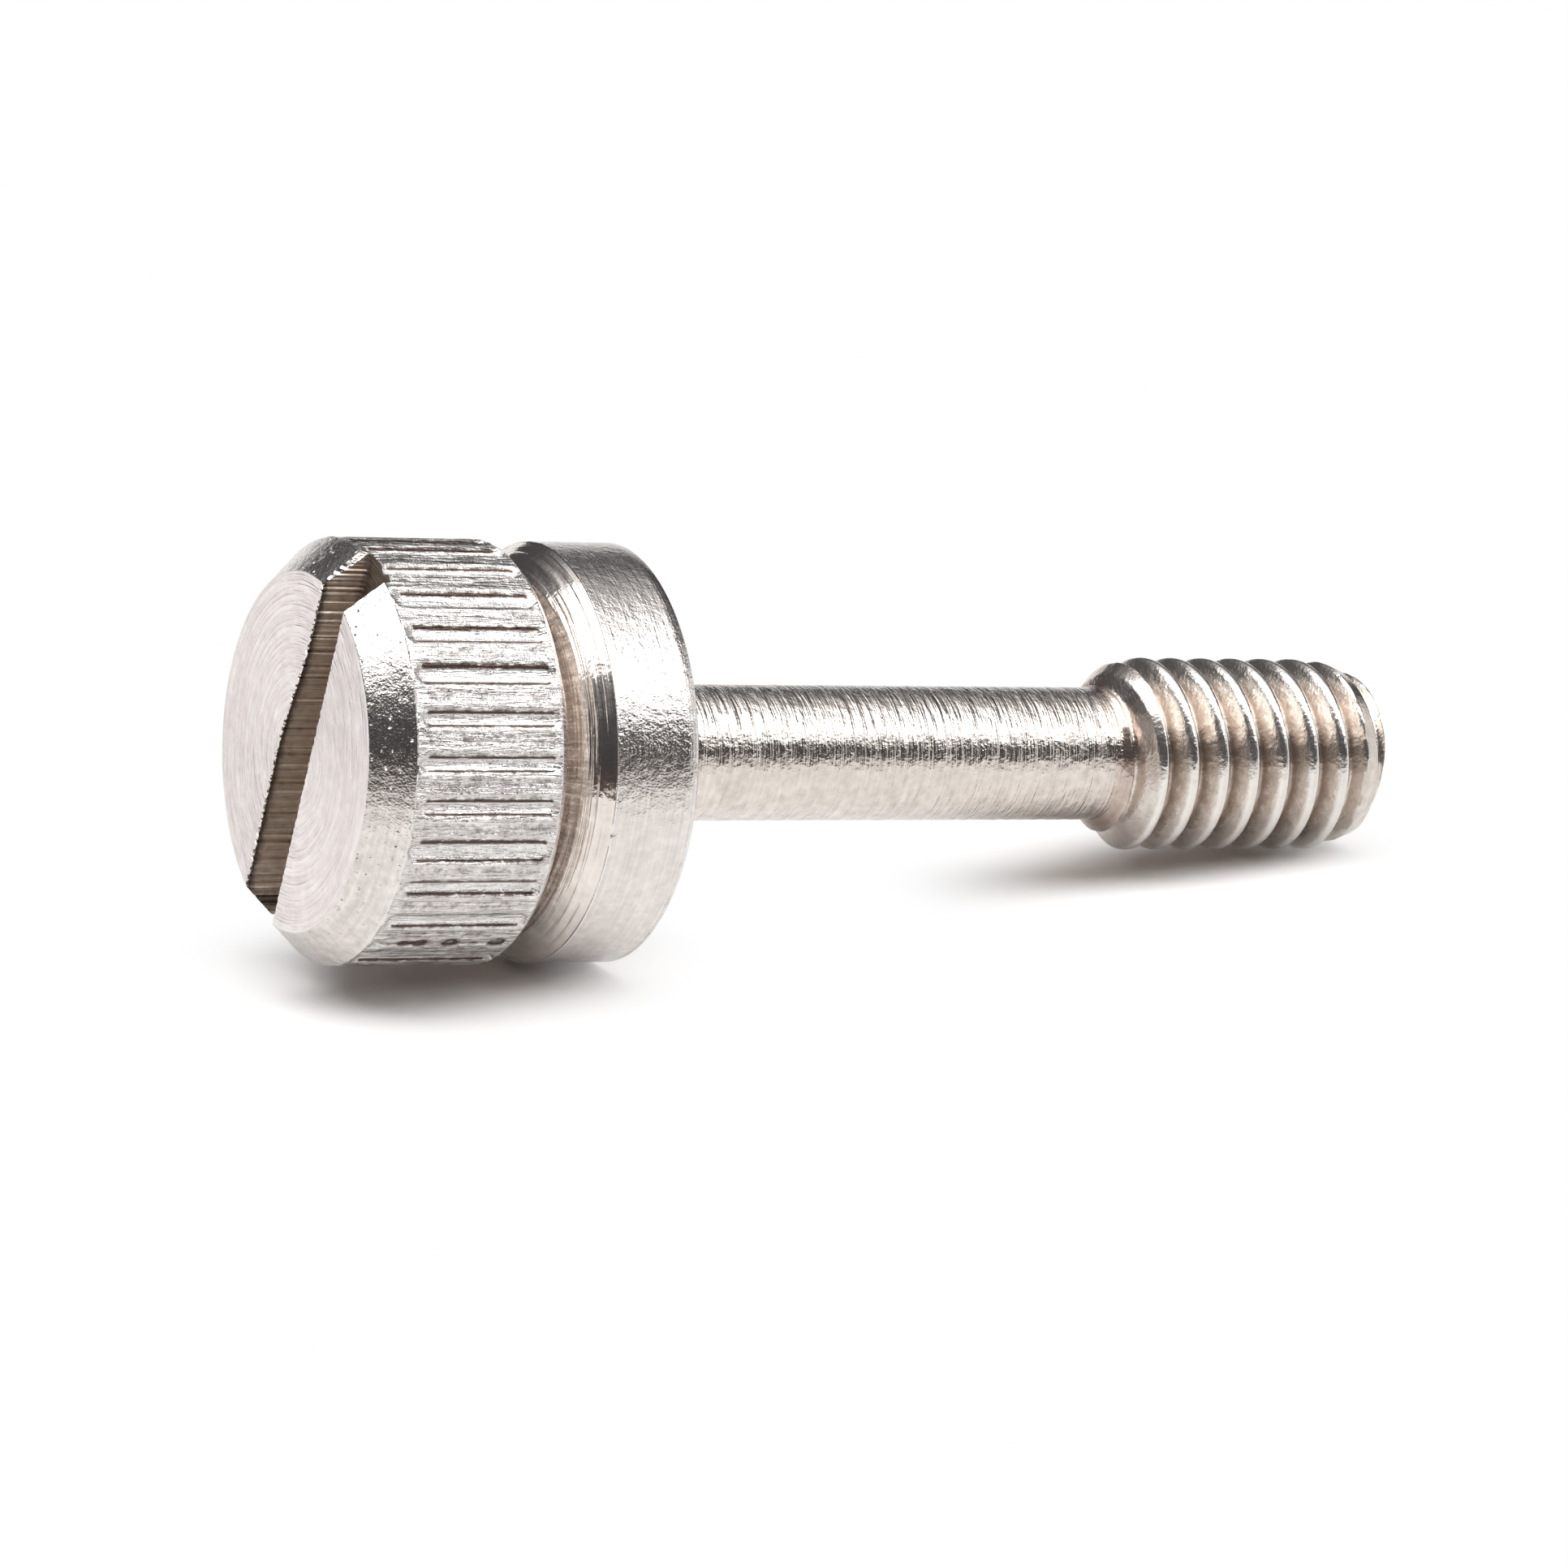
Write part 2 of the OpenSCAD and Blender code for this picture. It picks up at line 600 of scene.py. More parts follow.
@dataclass
class Thread(TurnedPart):
    """The right-hand thread, M4 x 0.7, with its run-in cone and its bevelled tip."""

    start: float = 17.3
    shank_radius: float = 1.325
    crest_start: float = 17.95
    crest_end: float = 22.4
    end: float = 23.25
    crest_radius: float = 1.925
    root_radius: float = 1.495
    tip_radius: float = 1.625
    end_radius: float = 1.2
    pitch: float = 0.7
    rings_to_pitch: int = 18
    first_crest: float = 18.468
    crest_width: float = 0.15
    softness: float = 0.034
    samples: int = 280
    tear_depth: float = 0.004
    tear_rise: float = 0.1
    run_in_cut: float = 0.19
    run_in_shift: Range = (0.2, 0.1)
    blend: float = 0.012
    rise: Range = (0.01, 0.13)
    columns: int = 120
    finish = Finish.THREADED

    def __post_init__(self) -> None:
        """Works out one pitch of the thread's form, with its crest and root rounded."""
        place = np.arange(self.samples) / self.samples * self.pitch
        away = np.minimum(place, self.pitch - place)
        depth = self.crest_radius - self.root_radius
        drop = np.clip((away - self.crest_width / 2.0) * math.sqrt(3.0), 0.0, depth)
        blur = np.exp(-0.5 * (away / self.softness) ** 2)
        soft = np.real(np.fft.ifft(np.fft.fft(drop) * np.fft.fft(blur / blur.sum())))
        soft = (soft - soft.min()) / (soft.max() - soft.min()) * depth
        self.form_place = np.append(place, self.pitch)
        self.form_drop = np.append(soft, soft[0])
        self.tears = Waver(seed=52, count=18, along=(0.6, 3.0), around=(3, 22))

    def corners(self) -> list[Corner]:
        """Gives the run-in, the crests' envelope, the tip bevel and the end.

        Returns:
            The corners, from the end face backwards.
        """
        step = self.pitch / self.rings_to_pitch
        return [
            Corner(self.start, self.shank_radius, rounding=0.1, step=step, part=self),
            Corner(self.crest_start, self.crest_radius, rounding=0.08, step=step, part=self),
            Corner(self.crest_end, self.crest_radius, rounding=0.05, step=step, part=self),
            Corner(self.end, self.tip_radius, rounding=0.04, step=0.3, part=self),
            Corner(self.end, self.end_radius, rounding=0.0, step=0.3, part=self),
        ]

    def skin(self, along: np.ndarray, radius: np.ndarray, angle: np.ndarray) -> np.ndarray:
        """Cuts the thread into the outline.

        Args:
            along: Distances behind the end face.
            radius: Radii of the plain outline.
            angle: Angles around the axis.

        Returns:
            The radii of the threaded skin, nowhere above the outline.
        """
        lead = along - self.first_crest - self.pitch * angle / TURN
        drop = np.interp(np.mod(lead, self.pitch), self.form_place, self.form_drop)
        cut = self.crest_radius - drop
        torn = 1.0 - self.tears.at(along, angle)
        cut = cut - self.tear_depth * torn * ease(drop, 0.0, self.tear_rise)
        after_start, after_crest = self.run_in_shift
        run_in = ease(along, self.start + after_start, self.crest_start + after_crest)
        cut = cut - self.run_in_cut * (1.0 - run_in)
        gap = np.clip(0.5 + 0.5 * (cut - radius) / self.blend, 0.0, 1.0)
        blended = cut * (1.0 - gap) + radius * gap - self.blend * gap * (1.0 - gap)
        share = ease(radius, self.shank_radius + self.rise[0], self.shank_radius + self.rise[1])
        return radius + share * np.minimum(np.maximum(blended, self.shank_radius) - radius, 0.0)


@dataclass
class DriverSlot:
    """The sawn slot across the end face, with its edges lightly broken.

    Its far wall is ragged, and metal is smeared over it towards the upper end. A burr is how much a
    broken edge grows, as a multiple of the lip, and where along the slot its growth starts and ends.
    The far edge's burr comes first.
    """

    half_width: float = 0.7
    depth: float = 0.85
    turn: float = math.radians(15.0)
    lip: float = 0.022
    lip_tremble: float = 0.4
    burrs: tuple[Triple, Triple] = ((5.0, 3.2, 3.8), (3.0, 3.5, 4.0))
    smear: float = 0.33
    smear_rise: Range = (-0.4, 2.3)
    teeth: float = 0.044
    least_tooth: float = -0.2
    tremble: float = 0.011
    reach: float = 4.5
    over: float = 0.4
    spacing: float = 0.035
    corner: float = 0.07
    corner_share: float = 0.3

    def section(self, places: np.ndarray, surface: np.ndarray) -> list[tuple[np.ndarray, np.ndarray]]:
        """Gives the cutter's section at each place along the slot.

        Args:
            places: Distances along the slot from its middle.
            surface: How far behind the end face the head's surface lies there.

        Returns:
            The section's corners in order, each as its distances aside and along the screw.
        """
        still = np.zeros(1)
        edges = [Waver(seed, count=18, along=(1.0, 9.0), around=(0, 0)) for seed in (71, 72)]
        shake = [edge.at(places, still) for edge in edges]
        tears = Waver(seed=73, count=12, along=(5.0, 11.0), around=(0, 0))
        torn = np.maximum(tears.at(places, still), self.least_tooth)
        smeared = self.smear * ease(places, *self.smear_rise)
        far = self.tremble * shake[0] + self.teeth * torn - smeared
        near = self.tremble * shake[1]
        lofts = []
        for side, shift, shaken, (burr, start, end) in zip((-1.0, 1.0), (far, near), shake, self.burrs):
            broken = self.lip * (1.0 + self.lip_tremble * shaken + burr * ease(places, start, end))
            wall = self.half_width + shift
            short = self.corner_share * self.corner
            lofts.append([
                (side * (wall + broken + self.over), surface - self.over),
                (side * wall, surface + broken),
                (side * wall, np.full_like(places, self.depth - self.corner)),
                (side * (wall - short), np.full_like(places, self.depth - short)),
                (side * (wall - self.corner), np.full_like(places, self.depth)),
            ])
        return lofts[0] + lofts[1][::-1]

    def cutter(self, lie: Lie, bevel: FrontBevel, knurl: Knurl) -> bpy.types.Mesh:
        """Builds the closed mesh that is cut from the head.

        Args:
            lie: Where the screw lies.
            bevel: The front bevel, whose slope the slot's broken edges follow.
            knurl: The knurl, for the bevel's outer radius.

        Returns:
            The cutter's mesh.
        """
        count = round(2.0 * self.reach / self.spacing)
        places = np.linspace(-self.reach, self.reach, count + 1)
        rise = (np.abs(places) - bevel.face_radius) / (knurl.radius - bevel.face_radius)
        section = self.section(places, bevel.length * np.clip(rise, 0.0, 1.0))
        aside = np.stack([corner[0] for corner in section], 1)
        along = np.stack([corner[1] for corner in section], 1)
        lengthwise = places[:, None] + 0.0 * aside
        cosine, sine = math.cos(self.turn), math.sin(self.turn)
        upward = lengthwise * cosine - aside * sine
        nearward = lengthwise * sine + aside * cosine
        width = len(section)
        # The slot's broken edges have the bevel's finish.
        around = [Finish.SAWN.value] * width
        around[0] = around[-2] = Finish.BEVELLED.value
        faces = []
        for row in range(count):
            faces.extend(ring_faces(row * width, width, (row + 1) * width, width))
        faces.append(tuple(range(width))[::-1])
        faces.append(tuple(range(count * width, (count + 1) * width)))
        finishes = around * count + [Finish.SAWN.value] * 2
        return closed_mesh("slot_cutter", lie.place(along, upward, nearward), faces, finishes)


# ---------------------------------------------------------------------------------------------------
# Meshes and objects
# ---------------------------------------------------------------------------------------------------


def ring_faces(start: int, count: int, onward: int, following: int) -> list[tuple[int, ...]]:
    """Joins two neighbouring rings, which may differ in their number of columns.

    Args:
        start: Index of the first ring's first vertex.
        count: Number of columns in the first ring.
        onward: Index of the second ring's first vertex.
        following: Number of columns in the second ring.

    Returns:
        The faces between the rings.
    """
    faces = []
    fewer = min(count, following)
    near_share, far_share = count // fewer, following // fewer
    for column in range(fewer):
        near = [start + (column * near_share + k) % count for k in range(near_share + 1)]
        far = [onward + (column * far_share + k) % following for k in range(far_share + 1)]
        faces.append(tuple(near + far[::-1]))
    return faces


def closed_mesh(
    name: str, points: np.ndarray, faces: list[tuple[int, ...]], finishes: list[int]
) -> bpy.types.Mesh:
    """Makes a closed mesh with its faces turned outward.

    Args:
        name: The mesh's name.
        points: One row of x, y and z for each vertex.
        faces: The vertices of each face.
        finishes: The material slot of each face.

    Returns:
        The mesh.
    """
    mesh = bpy.data.meshes.new(name)
    mesh.from_pydata(points.tolist(), [], faces)
    mesh.polygons.foreach_set("material_index", finishes)
    work = bmesh.new()
    work.from_mesh(mesh)
    bmesh.ops.recalc_face_normals(work, faces=work.faces)
    if work.calc_volume(signed=True) < 0.0:
        bmesh.ops.reverse_faces(work, faces=work.faces)
    work.to_mesh(mesh)
    work.free()
    return mesh


def put_in_scene(name: str, data: bpy.types.ID) -> bpy.types.Object:
    """Makes an object and links it to the scene.

    Args:
        name: The object's name.
        data: Its mesh, lamp or camera.

    Returns:
        The object.
    """
    made = bpy.data.objects.new(name, data)
    bpy.context.scene.collection.objects.link(made)
    return made


# ---------------------------------------------------------------------------------------------------
# The whole screw
# ---------------------------------------------------------------------------------------------------


@dataclass
class CaptiveScrew:
    """The whole screw: its stretches in order, and the slot that is cut into them."""

    end_face: EndFace = field(default_factory=EndFace)
    front_bevel: FrontBevel = field(default_factory=FrontBevel)
    knurl: Knurl = field(default_factory=Knurl)
    flare: Flare = field(default_factory=Flare)
    collar: Collar = field(default_factory=Collar)
    shank: Shank = field(default_factory=Shank)
    thread: Thread = field(default_factory=Thread)
    slot: DriverSlot = field(default_factory=DriverSlot)
    inner_rings: tuple[tuple[float, int], ...] = ((0.9, 24), (2.2, 120))
    tip_ring: tuple[float, int] = (0.5, 24)
    crisp_bend: float = math.radians(25.0)
    soft_bend: float = math.radians(62.0)

    def rings(self) -> list[Ring]:
        """Gives every ring of the skin, from the end face to the tip.

        Returns:
            The distances along, the radii and the finish of each ring.
        """
        parts = [
            self.end_face,
            self.front_bevel,
            self.knurl,
            self.flare,
            self.collar,
            self.shank,
            self.thread,
        ]
        corners = [corner for part in parts for corner in part.corners()]
        head = self.knurl.around()
        rings = []
        for radius, columns in self.inner_rings:
            rings.append((np.zeros(columns), np.full(columns, radius), Finish.FACED))
        for station in outline(corners):
            columns = station.part.columns
            angle = head if columns == len(head) else even_angles(columns)
            along = np.full_like(angle, station.along)
            radius = station.part.skin(along, np.full_like(angle, station.radius), angle)
            rings.append((along, radius, station.part.finish))
        radius, columns = self.tip_ring
        rings.append((np.full(columns, self.thread.end), np.full(columns, radius), Finish.THREADED))
        return rings

    def blank(self, lie: Lie) -> bpy.types.Mesh:
        """Builds the turned and threaded screw, before the slot is cut.

        Its columns are spaced evenly, also where the relief was read at other angles.

        Args:
            lie: Where the screw lies.

        Returns:
            One closed mesh.
        """
        rings = self.rings()
        points = []
        starts = []
        total = 0
        for along, radius, _ in rings:
            angle = even_angles(len(radius))
            points.append(lie.place(along, radius * np.cos(angle), radius * np.sin(angle)))
            starts.append(total)
            total += len(radius)
        for end in (0.0, self.thread.end):
            points.append(lie.place(np.array([end]), np.zeros(1), np.zeros(1)))
        first = len(rings[0][1])
        faces = [(total, (column + 1) % first, column) for column in range(first)]
        finishes = [Finish.FACED.value] * first
        for (_, here, finish), start, (_, there, _), onward in zip(rings, starts, rings[1:], starts[1:]):
            band = ring_faces(start, len(here), onward, len(there))
            faces.extend(band)
            finishes.extend([finish.value] * len(band))
        last = len(rings[-1][1])
        final = starts[-1]
        faces.extend((total + 1, final + column, final + (column + 1) % last) for column in range(last))
        finishes.extend([Finish.THREADED.value] * last)
        return closed_mesh("turned_blank", np.concatenate(points), faces, finishes)

    def build(self, lie: Lie) -> bpy.types.Object:
        """Builds the finished screw with its slot.

        Args:
            lie: Where the screw lies.

        Returns:
            The screw, linked to the scene.
        """
        blank = put_in_scene("turned_blank", self.blank(lie))
        cutter = put_in_scene("slot_cutter", self.slot.cutter(lie, self.front_bevel, self.knurl))
        groups = MetalGroups(lie, self.slot)
        for finish in Finish:
            material = FINISHES[finish].material(groups)
            blank.data.materials.append(material)
            cutter.data.materials.append(material)
        saw = blank.modifiers.new("saw", "BOOLEAN")
        saw.operation = "DIFFERENCE"
        saw.solver = "EXACT"
        saw.material_mode = "INDEX"
        saw.object = cutter
        depsgraph = bpy.context.evaluated_depsgraph_get()
        mesh = bpy.data.meshes.new_from_object(blank.evaluated_get(depsgraph))
        mesh.name = "captive_screw_skin"
        for made in (blank, cutter):
            bpy.data.objects.remove(made)
        self.smooth(mesh)
        return put_in_scene("screw", mesh)

    def smooth(self, mesh: bpy.types.Mesh) -> None:
        """Shades the skin smooth, but for the slot's edges and the squarest corners.

        Args:
            mesh: The skin.
        """
        work = bmesh.new()
        work.from_mesh(mesh)
        crisp = {finish.value for finish in (Finish.FACED, Finish.BEVELLED, Finish.SAWN)}
        for face in work.faces:
            face.smooth = True
        for edge in work.edges:
            if len(edge.link_faces) != 2:
                continue
            near_slot = any(face.material_index in crisp for face in edge.link_faces)
            edge.smooth = edge.calc_face_angle(0.0) < (self.crisp_bend if near_slot else self.soft_bend)
        work.to_mesh(mesh)
        work.free()


# ---------------------------------------------------------------------------------------------------
# Materials
# ---------------------------------------------------------------------------------------------------


class Wiring:
    """Adds nodes to a node tree and joins them up."""

    def __init__(self, tree: bpy.types.NodeTree) -> None:
        """Works on a node tree."""
        self.tree = tree

    def feed(self, target: Socket, source: object) -> None:
        """Links a socket to an input, or writes a plain value on it.

        Args:
            target: The input.
            source: The output socket or the value.
        """
        if isinstance(source, Socket):
            self.tree.links.new(source, target)
        else:
            target.default_value = source

    def node(self, kind: str, *sources: object, **settings: object) -> bpy.types.Node:
        """Adds a node.

        Args:
            kind: The node's type.
            sources: What its first inputs are fed with, in order.
            settings: Its settings by name.

        Returns:
            The node.
        """
        made = self.tree.nodes.new(kind)
        for name, value in settings.items():
            setattr(made, name, value)
        for target, source in zip(made.inputs, sources):
            self.feed(target, source)
        return made

    def group(self, tree: bpy.types.NodeTree, given: dict[str, object]) -> bpy.types.Node:
        """Adds a node group.

        Args:
            tree: The group.
            given: What its inputs are fed with, by name.

        Returns:
            The group's node.
        """
        made = self.node("ShaderNodeGroup", node_tree=tree)
        for name, source in given.items():
            self.feed(made.inputs[name], source)
        return made

    def maths(self, operation: str, *values: Value, clamp: bool = False) -> Socket:
        """Adds a Math node and gives its result, which a clamp holds from 0 to 1."""
        return self.node("ShaderNodeMath", *values, operation=operation, use_clamp=clamp).outputs[0]

    def vector(self, operation: str, *values: object) -> bpy.types.Node:
        """Adds a Vector Math node and feeds its inputs."""
        return self.node("ShaderNodeVectorMath", *values, operation=operation)

    def spread(
        self, value: Socket, low: Value, high: Value, to_low: Value, to_high: Value, curve: str = "LINEAR"
    ) -> Socket:
        """Maps a range of values to another, held at its ends. The curve is how it rises in between."""
        given = (value, low, high, to_low, to_high)
        return self.node("ShaderNodeMapRange", *given, clamp=True, interpolation_type=curve).outputs[0]

    def sharpen(self, value: Socket, contrast: Socket) -> Socket:
        """Spreads the values about a half over the whole range from 0 to 1.

        Args:
            value: The value.
            contrast: The width of the range that is spread; less gives harder edges.

        Returns:
            The result.
        """
        half = self.maths("MULTIPLY", contrast, 0.5)
        low = self.maths("SUBTRACT", 0.5, half)
        high = self.maths("ADD", 0.5, half)
        return self.spread(value, low, high, 0.0, 1.0)

    def noise(self, place: Socket, scale: Value, detail: float, roughness: float) -> Socket:
        """Adds a noise.

        Args:
            place: Where it is read.
            scale: Its scale.
            detail: Its octaves.
            roughness: How strong the finer octaves are.

        Returns:
            Its value, about a half.
        """
        made = self.node("ShaderNodeTexNoise", noise_dimensions="3D")
        given = {"Vector": place, "Scale": scale, "Detail": detail, "Roughness": roughness}
        for name, source in given.items():
            self.feed(made.inputs[name], source)
        return made.outputs["Fac"]

    def blend(self, share: Value, first: object, second: object) -> Socket:
        """Mixes two colours.

        Args:
            share: How much of the second shows.
            first: The first colour.
            second: The second colour.

        Returns:
            The mixed colour.
        """
        made = self.node("ShaderNodeMix", data_type="RGBA", clamp_factor=True)
        self.feed(made.inputs[0], share)
        self.feed(made.inputs[6], first)
        self.feed(made.inputs[7], second)
        return made.outputs[2]

    def mix(self, share: Value, first: Socket, second: Socket) -> Socket:
        """Mixes two shaders; the share is the second's."""
        return self.node("ShaderNodeMixShader", share, first, second).outputs[0]

    def show(self, surface: Socket, kind: str = "ShaderNodeOutputMaterial") -> None:
        """Joins a shader to a new output node."""
        self.feed(self.node(kind).inputs["Surface"], surface)


def bare_material(name: str) -> tuple[bpy.types.Material, Wiring]:
    """Makes a material without nodes.

    Args:
        name: The material's name.

    Returns:
        The material and its wiring.
    """
    material = bpy.data.materials.new(name)
    material.use_nodes = True
    material.node_tree.nodes.clear()
    return material, Wiring(material.node_tree)


@dataclass(frozen=True)
class Port:
    """A named socket of a node group, with the value it starts with."""

    name: str
    kind: str = "NodeSocketFloat"
    start: float | Triple | None = None


class MetalGroups:
    """The node groups that the screw's finishes share."""

    grain_to_patches: float = 4.3
    pit_sway: float = 0.12
    pit_sway_scale: float = 6.0
    pits_left_out: float = 0.6

    def __init__(self, lie: Lie, slot: DriverSlot) -> None:
        """Builds the groups.

        Args:
            lie: Where the screw lies.
            slot: The driver slot, for the direction it was sawn in.
        """
        self.frame = self.screw_frame(lie, slot)
        self.marks = self.tool_marks()
        self.mottle = self.mottling()
        self.pits = self.pitting()
        self.wear_and_shade = self.wear_and_painted_shade()

    def begin(self, name: str, inputs: list[Port], outputs: list[Port]) -> tuple[Wiring, dict, dict]:
        """Starts a node group.

        Args:
            name: The group's name.
            inputs: Its input sockets.
            outputs: Its output sockets.

        Returns:
            The wiring of the group, its inputs' sockets and its outputs' sockets, both by name.
        """
        tree = bpy.data.node_groups.new(name, "ShaderNodeTree")
        for direction, ports in (("INPUT", inputs), ("OUTPUT", outputs)):
            for port in ports:
                made = tree.interface.new_socket(port.name, in_out=direction, socket_type=port.kind)
                if port.start is not None:
                    made.default_value = port.start
        entry = tree.nodes.new("NodeGroupInput")
        leave = tree.nodes.new("NodeGroupOutput")
        given = {port.name: entry.outputs[port.name] for port in inputs}
        wanted = {port.name: leave.inputs[port.name] for port in outputs}
        return Wiring(tree), given, wanted

    def screw_frame(self, lie: Lie, slot: DriverSlot) -> bpy.types.NodeTree:
        """Builds the group that measures the surface from the screw's own axis, in millimetres.

        Args:
            lie: Where the screw lies.
            slot: The driver slot, for the direction it was sawn in.

        Returns:
            The group.
        """
        outputs = [
            Port("Along"),
            Port("Radius"),
            Port("Slotwise"),
            Port("Side", "NodeSocketVector"),
            Port("Place", "NodeSocketVector"),
        ]
        wiring, _, wanted = self.begin("screw_frame", [], outputs)
        coordinates = wiring.node("ShaderNodeTexCoord")
        from_face = wiring.vector("SUBTRACT", coordinates.outputs["Object"], tuple(lie.centre))
        scaled = wiring.vector("MULTIPLY", from_face.outputs[0], (1.0 / MM,) * 3).outputs[0]
        along, upward, nearward = (
            wiring.vector("DOT_PRODUCT", scaled, tuple(axis)).outputs["Value"]
            for axis in (lie.along, lie.up, lie.near)
        )
        flat = wiring.node("ShaderNodeCombineXYZ", 0.0, upward, nearward).outputs[0]
        slotwise = wiring.maths("MULTIPLY", upward, math.cos(slot.turn))
        slotwise = wiring.maths("MULTIPLY_ADD", nearward, math.sin(slot.turn), slotwise)
        place = wiring.node("ShaderNodeCombineXYZ", along, upward, nearward).outputs[0]
        wiring.feed(wanted["Along"], along)
        wiring.feed(wanted["Radius"], wiring.vector("LENGTH", flat).outputs["Value"])
        wiring.feed(wanted["Slotwise"], slotwise)
        wiring.feed(wanted["Side"], wiring.vector("NORMALIZE", flat).outputs[0])
        wiring.feed(wanted["Place"], place)
        return wiring.tree

    def tool_marks(self) -> bpy.types.NodeTree:
        """Builds the group of the lines that a tool leaves, close together across its travel.

        Returns:
            The group.
        """
        inputs = [
            Port("Travel"),
            Port("Side", "NodeSocketVector"),
            Port("Lines per mm", start=10.0),
            Port("Wander", start=1.0),
            Port("Contrast", start=0.5),
        ]
        wiring, given, wanted = self.begin("tool_marks", inputs, [Port("Lines")])
        step = wiring.maths("MULTIPLY", given["Travel"], given["Lines per mm"])
        onward = wiring.node("ShaderNodeCombineXYZ", step, 0.0, 0.0).outputs[0]
        spin = wiring.vector("SCALE", given["Side"])
        wiring.feed(spin.inputs["Scale"], given["Wander"])
        place = wiring.vector("ADD", spin.outputs[0], onward).outputs[0]
        lines = wiring.noise(place, 1.0, detail=2.5, roughness=0.6)
        wiring.feed(wanted["Lines"], wiring.sharpen(lines, given["Contrast"]))
        return wiring.tree

    def mottling(self) -> bpy.types.NodeTree:
        """Builds the group of the uneven patches left by the bar's rolling and by pickling.

        Returns:
            The group.
        """
        inputs = [
            Port("Place", "NodeSocketVector"),
            Port("Patches per mm", start=4.0),
            Port("Contrast", start=0.4),
        ]
        outputs = [Port("Patches"), Port("Grain")]
        wiring, given, wanted = self.begin("mottling", inputs, outputs)
        coarse = wiring.noise(given["Place"], given["Patches per mm"], detail=2.0, roughness=0.55)
        fine_scale = wiring.maths("MULTIPLY", given["Patches per mm"], self.grain_to_patches)
        fine = wiring.noise(given["Place"], fine_scale, detail=2.0, roughness=0.6)
        wiring.feed(wanted["Patches"], wiring.sharpen(coarse, given["Contrast"]))
        wiring.feed(wanted["Grain"], wiring.spread(fine, 0.25, 0.75, 0.0, 1.0))
        return wiring.tree

    def pitting(self) -> bpy.types.NodeTree:
        """Builds the group of small scattered pits.

        Returns:
            The group.
        """
        inputs = [
            Port("Place", "NodeSocketVector"),
            Port("Pits per mm", start=3.0),
            Port("Size", start=0.25),
        ]
        wiring, given, wanted = self.begin("pitting", inputs, [Port("Pits")])
        shaken = wiring.node("ShaderNodeTexNoise")
        wiring.feed(shaken.inputs["Vector"], given["Place"])
        wiring.feed(shaken.inputs["Scale"], self.pit_sway_scale)
        sway = (self.pit_sway,) * 3
        bent = wiring.vector("MULTIPLY_ADD", shaken.outputs["Color"], sway, given["Place"])
        cells = wiring.node("ShaderNodeTexVoronoi", feature="F1")
        wiring.feed(cells.inputs["Vector"], bent.outputs[0])
        wiring.feed(cells.inputs["Scale"], given["Pits per mm"])
        chosen = wiring.node("ShaderNodeSeparateColor", cells.outputs["Color"])
        kept = wiring.maths("GREATER_THAN", chosen.outputs[0], self.pits_left_out)
        round_pit = wiring.spread(cells.outputs["Distance"], 0.0, given["Size"], 1.0, 0.0)
        wiring.feed(wanted["Pits"], wiring.maths("MULTIPLY", round_pit, kept))
        return wiring.tree

    def wear_and_painted_shade(self) -> bpy.types.NodeTree:
        """Builds the group of the uneven strip along an edge or a hollow: a bright worn edge, or painted
        shade.

        Returns:
            The group.
        """
        inputs = [
            Port("Travel"),
            Port("Edge"),
            Port("Width", start=0.05),
            Port("Place", "NodeSocketVector"),
        ]
        wiring, given, wanted = self.begin("wear_and_painted_shade", inputs, [Port("Wear and shade")])
        away = wiring.maths("ABSOLUTE", wiring.maths("SUBTRACT", given["Travel"], given["Edge"]))
        ragged = wiring.noise(given["Place"], 5.0, detail=2.0, roughness=0.6)
        width = wiring.maths("MULTIPLY", given["Width"], wiring.spread(ragged, 0.3, 0.7, 0.4, 1.6))
        wiring.feed(wanted["Wear and shade"], wiring.spread(away, 0.0, width, 1.0, 0.0))
        return wiring.tree


@dataclass(frozen=True)
class Band:
    """A strip at one distance along the screw or out from its axis: a worn edge, or painted shade in a
    hollow.

    Its distances are in millimetres, its colour is linear, and it lies only within a stretch of the
    screw's length, at whose ends it fades.
    """

    centre: float
    width: float
    measure: Travel = Travel.ALONG
    colour: Triple = (0.86, 0.85, 0.84)
    share: float = 1.0
    roughened: float = 0.0
    within: Range = (-1.0, 30.0)
    fade: float = 0.04

    def strength(self, wiring: Wiring, groups: MetalGroups, place: bpy.types.Node) -> Socket:
        """Adds the strip's nodes.

        Args:
            wiring: The material's wiring.
            groups: The shared groups.
            place: The screw_frame group's node.

        Returns:
            How much of the strip shows, from 0 to its share.
        """
        wear_and_shade = wiring.group(groups.wear_and_shade, {
            "Travel": place.outputs[self.measure.value],
            "Edge": self.centre,
            "Width": self.width,
            "Place": place.outputs["Place"],
        })
        low, high = self.within
        along = place.outputs[Travel.ALONG.value]
        after = wiring.spread(along, low - self.fade, low, 0.0, self.share)
        before = wiring.spread(along, high, high + self.fade, 1.0, 0.0)
        return wiring.maths("MULTIPLY", wear_and_shade.outputs["Wear and shade"], wiring.maths("MULTIPLY", after, before))


